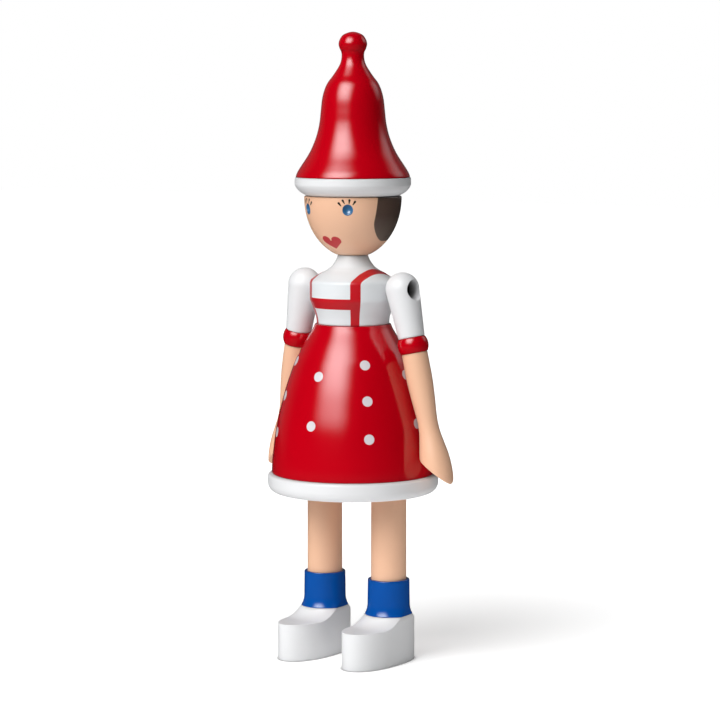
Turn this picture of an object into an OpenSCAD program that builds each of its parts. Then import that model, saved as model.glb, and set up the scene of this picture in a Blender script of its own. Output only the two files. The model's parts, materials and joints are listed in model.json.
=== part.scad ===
// Jointed doll of turned and painted wood. It stands on its soles and faces -Y.
// Hat, brim and head turn on the neck peg. Each arm turns on the elastic cord through
// the shoulders. Each leg swings on the steel pin through the hip block in the skirt.

/* [Shoes and socks] */
// Height of the flat toe above the ground
toe_h = 12.6; // [10:0.2:15]
// Height of the sock's lower edge above the toe
sock_rise = 3.6; // [2:0.2:4.6]
// Reach of a shoe in front of its leg's centre
toe_reach = 22.8; // [19:0.2:24]
// Reach of a shoe behind its leg's centre
heel_reach = 10.8; // [9.6:0.2:12]
// Greatest width of a shoe
shoe_w = 15.4; // [15:0.2:16.4]
// Radius of the hollow that runs round the foot of the sock
instep_r = 6; // [5:0.2:7]
// Height of a sock above the shoe
sock_h = 12.1; // [9:0.2:15]
// Wall of the sock round the leg
sock_wall = 1.1; // [0.8:0.05:1.3]

/* [Legs and hips] */
// Diameter of the leg dowel
leg_d = 12; // [11:0.2:12.4]
// Distance between the centres of the two legs
leg_spacing = 27.4; // [26:0.2:28.4]
// Height of the hip pin above the ground
hip_height = 85; // [80:1:95]
// How far the hip pin lies behind the body's centre line
hip_back = 2; // [0:0.25:2.5]
// How deep a leg is glued into its shoe
leg_socket_depth = 9; // [5:0.5:11]
// Diameter of the steel hip pin
hip_pin_d = 3; // [2:0.1:4]
// How much wood the pin's blind hole leaves at the outside of a leg
hip_pin_cover = 1.4; // [1:0.1:3]
// Depth of the hip block from front to back
hip_block_d = 12; // [9:0.5:14]

/* [Skirt] */
// Diameter of the skirt at its seam with the hem
skirt_d = 55.4; // [54:0.2:58]
// Height of the skirt between hem and waist
skirt_h = 51; // [48:0.2:56]
// Diameter of the skirt at the waist
skirt_top_d = 25.8; // [25.2:0.2:28]
// Drop from the hip pin to the skirt's seam with the hem
skirt_drop = 21.2; // [18:0.2:24]
// Wall of the skirt at its lower edge
skirt_wall = 3.1; // [2.5:0.1:4]
// Room between the top of a leg and the hollow's wall
hip_room = 0.9; // [0.6:0.1:1.4]
// Height of the hollow's ceiling above the hip pin
hollow_rise = 10; // [8.5:0.5:12]
// Height of the hem ring
hem_h = 6.5; // [5:0.1:8]
// How far the hem ring stands proud of the skirt
hem_proud = 1.4; // [0.8:0.1:2]

/* [Torso] */
// Diameter of the torso at the waist
waist_d = 24.6; // [23:0.2:25.2]
// Diameter of the torso at the bust
bust_d = 29.4; // [28:0.2:30]
// Diameter of the neck under the head
neck_d = 10.2; // [9:0.2:11]
// Height of the torso from waist to neck
torso_h = 23.4; // [21:0.2:26]
// Height of the shoulder cord above the waist
shoulder_h = 12.5; // [11.5:0.1:13.5]

/* [Arms] */
// Diameter of the rounded shoulder
sleeve_d = 11.4; // [10.8:0.2:12]
// Diameter of the sleeve at the cuff
sleeve_end_d = 8.9; // [8:0.1:9.6]
// Length of the sleeve below the shoulder cord
sleeve_l = 16.4; // [14:0.2:19]
// Length of the cuff
cuff_l = 5.3; // [4:0.1:7]
// How far the cuff bulges past the sleeve's end
cuff_proud = 0.75; // [0.5:0.05:1.2]
// Length of forearm and hand to the finger tip
forearm_l = 45.4; // [40:0.2:48]
// Diameter of the forearm under the cuff
forearm_d = 8.7; // [8:0.1:9.2]
// Diameter of the wrist
wrist_d = 6.8; // [6:0.1:7.6]
// Diameter of the hand
hand_d = 10.4; // [9.6:0.1:10.8]
// Slope of the saw cut at the hand's end
hand_cut_angle = 48; // [30:1:52]
// Turn of the saw cut towards the front
hand_cut_turn = 25; // [0:1:40]
// Height of the saw cut above the finger tip, at the arm's centre
hand_cut_h = 4.3; // [2.5:0.1:5.5]
// Gap between each arm and the skirt
arm_gap = 0.56; // [0.4:0.02:1.5]
// How far the left arm rests swung back
left_arm_back = 2; // [0:1:20]
// How far the right arm rests swung back
right_arm_back = 4; // [0:1:20]
// Gap between shoulder and bust
shoulder_gap = 0.4; // [0.3:0.05:0.8]
// Diameter of the counterbore in the shoulder
counterbore_d = 6.8; // [6:0.1:7.4]
// Depth of the counterbore's floor past the sleeve's centre
counterbore_past = 3; // [2:0.1:3.4]
// Diameter of the elastic cord
cord_d = 2; // [1.6:0.1:2.4]
// Diameter of the dowel inside the arm
arm_dowel_d = 3; // [2.4:0.1:3.6]
// Length of the dowel inside the arm
arm_dowel_l = 24; // [20:0.5:30]

/* [Head and hat] */
// Diameter of the head
head_d = 33; // [31:0.2:35]
// Height of the head
head_h = 19.8; // [18:0.2:22]
// How much of the bowl's full curve the flat above the neck cuts off
bowl_cut = 0.8; // [0.5:0.1:2.6]
// Diameter of an eye dimple
eye_d = 3.5; // [2.8:0.1:4.4]
// Depth of an eye dimple
eye_depth = 0.8; // [0.5:0.05:1.1]
// Turn of each eye from the front
eye_angle = 31; // [25:1:40]
// Drop of the eyes below the top of the head
eye_drop = 4; // [3:0.1:7]
// How far the brim stands proud of the hat
brim_proud = 0.15; // [0:0.05:2]
// Height of the hat brim
brim_h = 6.3; // [5:0.1:7.5]
// Diameter of the hat at its lower edge
hat_d = 39; // [36:0.1:42]
// Height of the hat
hat_h = 48.8; // [42:0.2:56]
// Diameter of the dowel through the brim
hat_dowel_d = 8; // [6:0.2:9]
// Depth of that dowel in the hat
hat_dowel_up = 14; // [10:0.5:20]
// Depth of that dowel in the head
hat_dowel_down = 7; // [5:0.5:8]
// Diameter of the neck peg
neck_peg_d = 5; // [4:0.2:6]
// Depth of the neck peg in the head
neck_peg_up = 9; // [7:0.5:10]
// Depth of the neck peg in the torso
neck_peg_down = 7.6; // [6:0.2:8]
// Diameter of the waist dowel
waist_dowel_d = 8; // [6:0.2:9]
// Depth of the waist dowel in the torso
waist_dowel_up = 7; // [5:0.5:8]
// Depth of the waist dowel in the hip block
waist_dowel_down = 5; // [3:0.5:6]

/* [Hidden] */
$fn = 64;

// Clearances and overrun
glue_gap = 0.05;
run_gap = 0.06;
cut_over = 1;

// Small edge radius
edge_r = 0.4;

// How finely arcs, curves and the shoe's outline are divided
turned_steps = 8;
edge_steps = 4;
knot_steps = 2;
bowl_steps = 14;
plan_step = 9;

// Heights of the stacked pieces
sock_base_h = toe_h + sock_rise;
skirt_z = hip_height - skirt_drop;
waist_z = skirt_z + skirt_h;
neck_z = waist_z + torso_h;
head_top_z = neck_z + head_h;
brim_top_z = head_top_z + brim_h;
shoulder_z = waist_z + shoulder_h;
ceiling_z = hip_height + hollow_rise;

// Places across the body
shoulder_x = bust_d / 2 + shoulder_gap + sleeve_d / 2;
hip_block_w = leg_spacing - leg_d - hip_room;
pin_reach = leg_spacing / 2 + leg_d / 2 - hip_pin_cover;
hollow_hip_r = norm([leg_spacing / 2, hip_back]) + leg_d / 2 + hip_room;
hollow_mouth_r = skirt_d / 2 - skirt_wall;
hollow_top_share = 0.86;
hollow_top_r = hollow_hip_r * hollow_top_share;

// Shoe outline in plan: widest ahead of the leg, fuller at the heel than at the toe
widest_ahead_share = 0.39;
widest_ahead = toe_reach * widest_ahead_share;
toe_power = 2.1;
heel_power = 2.6;

// Sizes that stand a named step proud of their neighbour
cuff_d = sleeve_end_d + 2 * cuff_proud;
brim_d = hat_d + 2 * brim_proud;

// Depth of the head's bowl, and where it is cut flat for the neck
bowl_depth = head_h + bowl_cut;
bowl_end = asin((head_h - edge_r) / bowl_depth);

// Sock
sock_r = leg_d / 2 + sock_wall;
sock_flare = 0.1;
sock_foot_r = sock_r + sock_flare;
sock_top_z = sock_base_h + sock_h;

// Centre of the hollow round the foot of the sock, where it meets the top of the shoe,
// and the angle just short of upright at which its curve runs into the sock
instep_centre = [sock_foot_r + instep_r, toe_h + instep_r];
sock_seat_angle = 180 + asin((instep_centre[1] - sock_base_h) / instep_r);
instep_end_angle = 180.4;

// Start of the arm's dowel below the shoulder's counterbore
dowel_clear = 4;
dowel_top = counterbore_d / 2 + dowel_clear;

// Washer and knot at each end of the shoulder cord
washer_t = 0.6;
washer_play = 0.4;
knot_r_share = 0.56;
knot_r = counterbore_d / 2 * knot_r_share;
counterbore_floor_x = shoulder_x - counterbore_past;
knot_x = counterbore_floor_x + washer_t + run_gap + knot_r;

// Hat outline, from the lower edge to the ball on top
hat_rise_shares = [0, 0.02, 0.08, 0.145, 0.205, 0.287, 0.372, 0.454, 0.536, 0.6, 0.65,
    0.702, 0.764, 0.8, 0.835, 0.862, 0.885, 0.919, 0.957, 0.984, 1];
hat_girth_shares = [0.985, 0.985, 0.89, 0.782, 0.703, 0.625, 0.576, 0.553, 0.53, 0.49, 0.434,
    0.338, 0.239, 0.204, 0.193, 0.2, 0.227, 0.245, 0.212, 0.145, 0];

// Brim outline below its straight upper half
brim_rise_shares = [0, 0.11, 0.2, 0.32, 0.43, 0.53, 0.62];
brim_girth_shares = [0.79, 0.85, 0.9, 0.942, 0.972, 0.99, 1];

// Skirt outline, from the hem to the waist, between the two diameters
skirt_rise_shares = [0, 0.08, 0.213, 0.347, 0.48, 0.6125, 0.746, 0.812, 0.878, 0.96, 1];
skirt_flare_shares = [1, 0.99, 0.94, 0.868, 0.757, 0.628, 0.465, 0.355, 0.23, 0.06, 0];

// Skirt's radius and height at one of its stations
function skirt_station(i) =
    [skirt_top_d / 2 + (skirt_d - skirt_top_d) / 2 * skirt_flare_shares[i],
        skirt_z + skirt_h * skirt_rise_shares[i]];

// Lean at which an arm of that radius hangs clear of the skirt at one of its stations,
// and the lean that clears it both at the hand and at the forearm
hand_station = 1;
forearm_station = 5;
function lean_past(i, arm_r) = let (past = [shoulder_x, shoulder_z] - skirt_station(i))
    asin((arm_r + arm_gap) / norm(past)) - atan2(past[0], past[1]);
arm_lean = max(lean_past(hand_station, hand_d / 2), lean_past(forearm_station, forearm_d / 2));

// Torso outline from waist to bust, and from the shoulder's edge to the neck
chest_rise_shares = [0, 0.09, 0.17, 0.26, 0.34, 0.385];
chest_girth_shares = [0, 0.09, 0.3, 0.62, 0.93, 1];
shoulder_rise_shares = [0.6, 0.64, 0.695, 0.735, 0.77, 0.8, 0.83, 0.885, 0.94, 1];
shoulder_girth_shares = [1, 0.95, 0.75, 0.6, 0.43, 0.32, 0.23, 0.13, 0.05, 0];

// Roundings of the hem ring: shares of its height below and of its step above
hem_fall_share = 0.52;
hem_shoulder_share = 0.8;

// Forearm outline from the cuff to the finger tip
forearm_rise_shares = [0, 0.2, 0.35, 0.47, 0.54, 0.61, 0.68, 0.76, 0.84, 0.92, 0.97, 1];
forearm_wrist_shares = [0, 0, 0.42, 0.92, 1];
hand_swell_shares = [0.14, 0.46, 0.82, 1, 0.98, 0.8, 0.4];

// Smooth curve through knots, each stretch cut in steps
function knot_curve(k, steps) = concat(
    [for (i = [0 : len(k) - 2], s = [0 : steps - 1]) curve_point(
        k[max(i - 1, 0)], k[i], k[i + 1], k[min(i + 2, len(k) - 1)], s / steps)],
    [k[len(k) - 1]]);
function curve_point(a, b, c, d, t) =
    b + (c - a) * t / 2 + (a * 2 - b * 5 + c * 4 - d) * t * t / 2
    + (b * 3 - a - c * 3 + d) * t * t * t / 2;

// Points of an arc about a centre
function arc(centre, r, from, to, steps) =
    [for (i = [0 : steps]) let (a = from + (to - from) * i / steps)
        centre + r * [cos(a), sin(a)]];

// Point of a rounded outline whose roundness is set by its power
function signed_power(v, p) = sign(v) * pow(abs(v), p);
function shoe_point(a) = let (power = sin(a) < 0 ? toe_power : heel_power,
        reach = sin(a) < 0 ? toe_reach - widest_ahead : heel_reach + widest_ahead)
    [shoe_w / 2 * signed_power(cos(a), 2 / power),
        reach * signed_power(sin(a), 2 / power) - widest_ahead];

// Solid turned about Z from an outline of radius and height
module turned(outline) {
    rotate_extrude() polygon(outline);
}

// Round hole or rod along Z from one height to another
module rod(d, from, to) {
    translate([0, 0, from]) cylinder(d = d, h = to - from);
}

// Round hole or rod along X, centred on the origin's YZ point
module cross_rod(d, from, to) {
    rotate([0, 90, 0]) rod(d, from, to);
}

module shoe_plan(h) {
    linear_extrude(h) polygon([for (a = [0 : plan_step : 360 - plan_step]) shoe_point(a)]);
}

// Moves a part drawn about its leg's centre to the left (1) or right (-1) leg
module at_leg(side) {
    translate([side * leg_spacing / 2, hip_back, 0]) children();
}

module shoe(side) {
    color("white") at_leg(side) difference() {
        intersection() {
            shoe_plan(sock_base_h);
            turned(concat([[0, 0], [toe_reach + cut_over, 0], [toe_reach + cut_over, toe_h]],
                arc(instep_centre, instep_r, 270, sock_seat_angle, turned_steps),
                [[0, sock_base_h]]));
        }
        rod(leg_d + 2 * glue_gap, sock_base_h - leg_socket_depth, sock_base_h + cut_over);
    }
}

module sock(side) {
    color([0.05, 0.25, 0.6]) at_leg(side) difference() {
        union() {
            turned([[0, sock_base_h], [sock_foot_r, sock_base_h], [sock_r, sock_top_z - edge_r],
                [sock_r - edge_r, sock_top_z], [0, sock_top_z]]);
            intersection() {
                translate([0, 0, sock_base_h]) shoe_plan(sock_h);
                turned(concat([[0, sock_base_h]],
                    arc(instep_centre, instep_r, sock_seat_angle, instep_end_angle, turned_steps),
                    [[0, instep_centre[1]]]));
            }
        }
        rod(leg_d + 2 * glue_gap, sock_base_h - cut_over, sock_top_z + cut_over);
    }
}

module leg(side) {
    color([0.93, 0.75, 0.61]) at_leg(side) difference() {
        turned(concat([[0, sock_base_h - leg_socket_depth + glue_gap],
                [leg_d / 2, sock_base_h - leg_socket_depth + glue_gap]],
            arc([0, hip_height], leg_d / 2, 0, 90, turned_steps)));
        translate([0, 0, hip_height]) mirror([side > 0 ? 0 : 1, 0, 0])
            cross_rod(hip_pin_d + 2 * run_gap, -leg_d / 2 - cut_over, leg_d / 2 - hip_pin_cover);
    }
}

module hip_pin() {
    color("silver") translate([0, hip_back, hip_height])
        cross_rod(hip_pin_d, run_gap - pin_reach, pin_reach - run_gap);
}

module hip_block() {
    block_r = hip_block_d / 2;
    color([0.85, 0.7, 0.5]) difference() {
        translate([-hip_block_w / 2, 0, hip_height]) rotate([90, 0, 90])
            linear_extrude(hip_block_w) polygon(concat(
                arc([0, 0], block_r, 180, 360, turned_steps),
                [[block_r, hollow_rise], [-block_r, hollow_rise]]));
        translate([0, hip_back, hip_height])
            cross_rod(hip_pin_d + 2 * glue_gap, -hip_block_w, hip_block_w);
        rod(waist_dowel_d + 2 * glue_gap, ceiling_z - waist_dowel_down, ceiling_z + cut_over);
    }
}

module waist_dowel() {
    color([0.85, 0.7, 0.5])
        rod(waist_dowel_d, ceiling_z - waist_dowel_down + glue_gap, waist_z + waist_dowel_up);
}

module skirt() {
    knots = [for (i = [0 : len(skirt_rise_shares) - 1]) skirt_station(i)];
    color([0.78, 0, 0.1]) difference() {
        turned(concat([[0, skirt_z]], knot_curve(knots, knot_steps), [[0, waist_z]]));
        turned([[0, skirt_z - cut_over], [hollow_mouth_r, skirt_z - cut_over],
            [hollow_mouth_r, skirt_z], [hollow_hip_r, hip_height],
            [hollow_top_r, ceiling_z], [0, ceiling_z]]);
        rod(waist_dowel_d + 2 * glue_gap, ceiling_z - cut_over, waist_z + cut_over);
    }
}

module skirt_hem() {
    low_z = skirt_z - hem_h;
    outer_r = skirt_d / 2 + hem_proud;
    fall = hem_h * hem_fall_share;
    shoulder = hem_proud * hem_shoulder_share;
    bore_edge_r = 2 * edge_r;
    color("white") turned(concat(
        arc([hollow_mouth_r + bore_edge_r, low_z + bore_edge_r], bore_edge_r, 180, 270, edge_steps),
        arc([outer_r - fall, low_z + fall], fall, 270, 360, turned_steps),
        arc([outer_r - shoulder, skirt_z - shoulder], shoulder, 0, 90, edge_steps),
        [[hollow_mouth_r, skirt_z]]));
}

module torso() {
    chest = (bust_d - waist_d) / 2;
    slope = (bust_d - neck_d) / 2;
    lower = [for (i = [0 : len(chest_rise_shares) - 1])
        [waist_d / 2 + chest * chest_girth_shares[i], waist_z + torso_h * chest_rise_shares[i]]];
    upper = [for (i = [0 : len(shoulder_rise_shares) - 1])
        [neck_d / 2 + slope * shoulder_girth_shares[i],
            waist_z + torso_h * shoulder_rise_shares[i]]];
    color("white") difference() {
        turned(concat([[0, waist_z]], knot_curve(lower, knot_steps),
            knot_curve(upper, knot_steps), [[0, neck_z]]));
        translate([0, 0, shoulder_z])
            cross_rod(cord_d + 2 * run_gap, -bust_d / 2 - cut_over, bust_d / 2 + cut_over);
        rod(neck_peg_d + 2 * glue_gap, neck_z - neck_peg_down, neck_z + cut_over);
        rod(waist_dowel_d + 2 * glue_gap, waist_z - cut_over, waist_z + waist_dowel_up + glue_gap);
    }
}

module neck_peg() {
    color([0.85, 0.7, 0.5]) rod(neck_peg_d, neck_z - neck_peg_down + glue_gap, neck_z + neck_peg_up);
}

module head() {
    bowl = [for (i = [0 : bowl_steps]) let (a = bowl_end * i / bowl_steps)
        [head_d / 2 * cos(a), head_top_z - edge_r - bowl_depth * sin(a)]];
    eye_z = head_top_z - eye_drop;
    eye_at_r = head_d / 2 * sqrt(1 - pow((eye_drop - edge_r) / bowl_depth, 2));
    eye_ball_r = (pow(eye_d / 2, 2) + pow(eye_depth, 2)) / (2 * eye_depth);
    color([0.93, 0.75, 0.61]) difference() {
        turned(concat([[0, head_top_z], [head_d / 2 - edge_r, head_top_z]], bowl, [[0, neck_z]]));
        for (side = [-1, 1]) rotate([0, 0, side * eye_angle])
            translate([0, eye_depth - eye_at_r - eye_ball_r, eye_z]) sphere(r = eye_ball_r);
        rod(neck_peg_d + 2 * run_gap, neck_z - cut_over, neck_z + neck_peg_up + run_gap);
        rod(hat_dowel_d + 2 * glue_gap, head_top_z - hat_dowel_down, head_top_z + cut_over);
    }
}

module hat_brim() {
    knots = [for (i = [0 : len(brim_rise_shares) - 1])
        [brim_d / 2 * brim_girth_shares[i], head_top_z + brim_h * brim_rise_shares[i]]];
    color("white") difference() {
        turned(concat([[0, head_top_z]], knot_curve(knots, knot_steps),
            [[brim_d / 2, brim_top_z - edge_r], [brim_d / 2 - edge_r, brim_top_z],
                [0, brim_top_z]]));
        rod(hat_dowel_d + 2 * glue_gap, head_top_z - cut_over, brim_top_z + cut_over);
    }
}

module hat() {
    knots = [for (i = [0 : len(hat_rise_shares) - 1])
        [hat_d / 2 * hat_girth_shares[i], brim_top_z + hat_h * hat_rise_shares[i]]];
    color([0.78, 0, 0.1]) difference() {
        turned(concat([[0, brim_top_z]], knot_curve(knots, knot_steps)));
        rod(hat_dowel_d + 2 * glue_gap, brim_top_z - cut_over, brim_top_z + hat_dowel_up);
    }
}

module hat_dowel() {
    color([0.85, 0.7, 0.5])
        rod(hat_dowel_d, head_top_z - hat_dowel_down + glue_gap,
            brim_top_z + hat_dowel_up - glue_gap);
}

// Places an arm drawn hanging straight down from the origin: leant out, swung back
module at_shoulder(side) {
    back = side > 0 ? left_arm_back : right_arm_back;
    translate([side * shoulder_x, 0, shoulder_z]) rotate([back, 0, 0])
        rotate([0, -side * arm_lean, 0]) children();
}

module sleeve(side) {
    color("white") difference() {
        at_shoulder(side) difference() {
            turned(concat([[0, -sleeve_l], [sleeve_end_d / 2, -sleeve_l]],
                arc([0, 0], sleeve_d / 2, 0, 90, turned_steps)));
            rod(arm_dowel_d + 2 * glue_gap, -sleeve_l - cut_over, glue_gap - dowel_top);
        }
        translate([0, 0, shoulder_z]) mirror([side > 0 ? 0 : 1, 0, 0]) {
            cross_rod(cord_d + 2 * run_gap, 0, shoulder_x);
            cross_rod(counterbore_d, counterbore_floor_x, shoulder_x + sleeve_d);
        }
    }
}

module cuff(side) {
    start_z = -sleeve_l;
    lip_r = sleeve_end_d / 2;
    bulge = cuff_d / 2 - lip_r;
    bulge_r = (pow(cuff_l / 2, 2) + pow(bulge, 2)) / (2 * bulge);
    sweep = asin(cuff_l / 2 / bulge_r);
    color([0.78, 0, 0.1]) at_shoulder(side) difference() {
        turned(concat([[0, start_z - cuff_l]],
            arc([cuff_d / 2 - bulge_r, start_z - cuff_l / 2], bulge_r, -sweep, sweep, turned_steps),
            [[0, start_z]]));
        rod(arm_dowel_d + 2 * glue_gap, start_z - cuff_l - cut_over, start_z + cut_over);
    }
}

module forearm(side) {
    start_z = -sleeve_l - cuff_l;
    radii = concat(
        [for (s = forearm_wrist_shares) forearm_d / 2 + (wrist_d - forearm_d) / 2 * s],
        [for (s = hand_swell_shares) wrist_d / 2 + (hand_d - wrist_d) / 2 * s]);
    knots = [for (i = [0 : len(forearm_rise_shares) - 1])
        [radii[i], start_z - forearm_l * forearm_rise_shares[i]]];
    tip_z = start_z - forearm_l;
    cut_block = 2 * hand_d;
    color([0.93, 0.75, 0.61]) at_shoulder(side) difference() {
        turned(concat([[0, start_z]], knot_curve(knots, knot_steps), [[0, tip_z]]));
        rod(arm_dowel_d + 2 * glue_gap, -dowel_top - arm_dowel_l, start_z + cut_over);
        translate([0, 0, tip_z + hand_cut_h])
            rotate([0, side * hand_cut_angle, side * hand_cut_turn])
                translate([-cut_block / 2, -cut_block / 2, -cut_block]) cube(cut_block);
    }
}

module arm_dowel(side) {
    color([0.85, 0.7, 0.5]) at_shoulder(side)
        rod(arm_dowel_d, glue_gap - dowel_top - arm_dowel_l, -dowel_top);
}

module shoulder_cord() {
    color([0.15, 0.15, 0.15]) translate([0, 0, shoulder_z]) {
        cross_rod(cord_d, -knot_x, knot_x);
        for (side = [-1, 1]) translate([side * knot_x, 0, 0]) sphere(r = knot_r);
    }
}

module shoulder_washer(side) {
    color("silver") translate([0, 0, shoulder_z]) mirror([side > 0 ? 0 : 1, 0, 0]) difference() {
        cross_rod(counterbore_d - 2 * washer_play, counterbore_floor_x,
            counterbore_floor_x + washer_t);
        cross_rod(cord_d + 2 * run_gap, 0, shoulder_x);
    }
}

hat();
hat_brim();
hat_dowel();
head();
neck_peg();
torso();
waist_dowel();
skirt();
skirt_hem();
hip_block();
hip_pin();
shoulder_cord();
leg(1);  // leg_left
sock(1);  // sock_left
shoe(1);  // shoe_left
leg(-1);  // leg_right
sock(-1);  // sock_right
shoe(-1);  // shoe_right
sleeve(1);  // sleeve_left
cuff(1);  // cuff_left
forearm(1);  // forearm_left
arm_dowel(1);  // arm_dowel_left
shoulder_washer(1);  // shoulder_washer_left
sleeve(-1);  // sleeve_right
cuff(-1);  // cuff_right
forearm(-1);  // forearm_right
arm_dowel(-1);  // arm_dowel_right
shoulder_washer(-1);  // shoulder_washer_right
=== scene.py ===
import json
import math

import bmesh
import bpy
from mathutils import Matrix, Vector
from mathutils.bvhtree import BVHTree


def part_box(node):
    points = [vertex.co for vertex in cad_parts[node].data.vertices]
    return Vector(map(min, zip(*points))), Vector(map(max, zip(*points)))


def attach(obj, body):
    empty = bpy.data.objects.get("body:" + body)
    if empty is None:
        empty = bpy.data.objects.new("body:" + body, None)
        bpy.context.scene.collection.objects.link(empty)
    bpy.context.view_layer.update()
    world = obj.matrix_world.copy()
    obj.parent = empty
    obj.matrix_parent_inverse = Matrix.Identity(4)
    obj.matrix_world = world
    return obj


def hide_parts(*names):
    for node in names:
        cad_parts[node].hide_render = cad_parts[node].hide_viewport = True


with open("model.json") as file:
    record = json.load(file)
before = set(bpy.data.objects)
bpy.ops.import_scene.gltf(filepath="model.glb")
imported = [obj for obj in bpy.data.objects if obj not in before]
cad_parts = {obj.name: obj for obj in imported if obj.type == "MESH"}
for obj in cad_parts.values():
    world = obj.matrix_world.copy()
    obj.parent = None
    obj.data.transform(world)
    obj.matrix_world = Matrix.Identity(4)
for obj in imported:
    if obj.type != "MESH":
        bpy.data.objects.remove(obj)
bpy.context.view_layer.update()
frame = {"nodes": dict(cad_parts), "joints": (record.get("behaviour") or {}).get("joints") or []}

MM = 0.001

# Camera
# A long lens about 0.9 m away, 37 degrees round to the doll's left. It stands a little below
# the top of the hat and looks slightly down.
camera_turn = math.radians(37)
camera_reach = 918 * MM
camera_height = 195.5 * MM
camera_tilt = math.radians(5.8)
camera_sidestep = 2.4 * MM
camera_lens_mm = 135.7
camera_film_mm = 36
camera_nearest = 50 * MM

lens = bpy.data.cameras.new("camera")
lens.lens = camera_lens_mm
lens.sensor_width = camera_film_mm
lens.clip_start = camera_nearest
camera = bpy.data.objects.new("camera", lens)
camera_right = Vector((math.cos(camera_turn), math.sin(camera_turn), 0))
camera_back = Vector((math.sin(camera_turn), -math.cos(camera_turn), 0))
camera.location = (camera_back * camera_reach + camera_right * camera_sidestep
                   + Vector((0, 0, camera_height)))
camera.rotation_euler = (math.pi / 2 - camera_tilt, 0, camera_turn)
bpy.context.collection.objects.link(camera)
bpy.context.scene.camera = camera


# Floor and studio
# A plain white floor under white surroundings, with a painted contact shadow, a thin dark
# line, where the shoes meet it. It only throws light back near the doll and the paint mirrors
# little of it, so colours stay deep. From below it is clear, which leaves the soles and the
# hollow skirt in sight.
def feed(node, inputs):
    """Fills a node's inputs, each with a value or with the output of another node."""
    for key, value in dict(inputs).items():
        if isinstance(value, bpy.types.NodeSocket):
            node.id_data.links.new(value, node.inputs[key])
        else:
            node.inputs[key].default_value = value


def wire(tree, kind, inputs=(), **settings):
    """Adds a shader node to a tree and fills its inputs."""
    made = tree.nodes.new("ShaderNode" + kind)
    for key, value in settings.items():
        setattr(made, key, value)
    feed(made, inputs)
    return made


def maths(tree, operation, *values, **settings):
    """Result of a calculation with numbers."""
    return wire(tree, "Math", enumerate(values), operation=operation, **settings).outputs[0]


def times(tree, product, *others):
    """Product of numbers."""
    for other in others:
        product = maths(tree, "MULTIPLY", product, other)
    return product


def vectors(tree, operation, *values):
    """Result of a calculation with vectors, which for some is a number."""
    made = wire(tree, "VectorMath", enumerate(values), operation=operation)
    gives_number = operation in ("DISTANCE", "DOT_PRODUCT", "LENGTH")
    return made.outputs["Value" if gives_number else "Vector"]


def ranged(tree, value, low, high, to_low=0.0, to_high=1.0, **settings):
    """Goes from to_low to to_high as the value goes from low to high, and stays within them."""
    return wire(tree, "MapRange", {"Value": value, "From Min": low, "From Max": high,
                                   "To Min": to_low, "To Max": to_high},
                **settings).outputs["Result"]


def mixed(tree, share, start, end):
    """Number that goes from start to end as the share goes from 0 to 1."""
    return wire(tree, "Mix", {"Factor": share, 2: start, 3: end}).outputs[0]


def noise(tree, place, scale, detail=2):
    """Soft random pattern from 0 to 1."""
    return wire(tree, "TexNoise", {"Vector": place, "Scale": scale,
                                   "Detail": detail}).outputs["Fac"]


def place_in(tree):
    """Where a point lies, in metres from the object's origin."""
    return wire(tree, "TexCoord").outputs["Object"]


def bare_tree(owner):
    """Emptied node tree of a material, lamp or world."""
    owner.use_nodes = True
    owner.node_tree.nodes.clear()
    return owner.node_tree


floor_size = 6.0
floor_albedo = 0.8
floor_albedo_drift = 0.02
floor_grain_scale = 40
floor_mirrored = 0.03
floor_fill = 0.72
# Reach and samples of the painted contact shadow under the shoes.
floor_contact_shadow_reach = 1.6 * MM
floor_contact_shadow_samples = 6
# Light thrown back falls to a share between two distances from the doll's axis, and is less
# on what lies close to the floor.
floor_bounce_near = 0.04
floor_bounce_end = 0.45
floor_bounce_far = 0.25
floor_close = 50 * MM
floor_close_share = 0.6
# To the camera the floor glows, less near the doll, where its shadow lies.
floor_glow_near = 0.03
floor_glow_end = 0.34
floor_glow = 0.44
floor_glow_far = 1.0

floor_mesh = bpy.data.meshes.new("floor")
half = floor_size / 2
floor_mesh.from_pydata([(-half, -half, 0), (half, -half, 0), (half, half, 0), (-half, half, 0)],
                       [], [(0, 1, 2, 3)])
floor = bpy.data.objects.new("floor", floor_mesh)
bpy.context.collection.objects.link(floor)

floor_paper = bpy.data.materials.new("floor_paper")
tree = bare_tree(floor_paper)
seen = wire(tree, "LightPath").outputs
place = place_in(tree)
away = vectors(tree, "LENGTH", place)
grain = noise(tree, place, floor_grain_scale)
paper = ranged(tree, grain, 0.0, 1.0, floor_albedo, floor_albedo + floor_albedo_drift)
bounce = ranged(tree, away, floor_bounce_near, floor_bounce_end, 1.0, floor_bounce_far)
close = ranged(tree, seen["Ray Length"], 0.0, floor_close, floor_close_share, 1.0)
thrown = times(tree, bounce, close)
dimmed = mixed(tree, seen["Is Diffuse Ray"], 1.0, thrown)
lit_tone = times(tree, paper, dimmed)
tone = mixed(tree, seen["Is Glossy Ray"], lit_tone, floor_mirrored)
# Painted contact shadow: ambient occlusion darkens the floor's tone and glow close to the shoes.
contact_shadow = wire(tree, "AmbientOcclusion", {"Distance": floor_contact_shadow_reach},
              samples=floor_contact_shadow_samples).outputs["AO"]
shade = wire(tree, "BsdfDiffuse", {"Color": times(tree, tone, contact_shadow)})
glow = ranged(tree, away, floor_glow_near, floor_glow_end, floor_glow, floor_glow_far)
fill = times(tree, thrown, floor_fill, seen["Is Diffuse Ray"])
lift = maths(tree, "MULTIPLY_ADD", seen["Is Camera Ray"], glow, fill)
given_off = wire(tree, "Emission", {"Strength": times(tree, lift, contact_shadow)})
both = wire(tree, "AddShader", {0: shade.outputs[0], 1: given_off.outputs[0]})
clear = wire(tree, "BsdfTransparent")
from_below = wire(tree, "NewGeometry").outputs["Backfacing"]
seen_side = wire(tree, "MixShader", {0: from_below, 1: both.outputs[0], 2: clear.outputs[0]})
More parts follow.
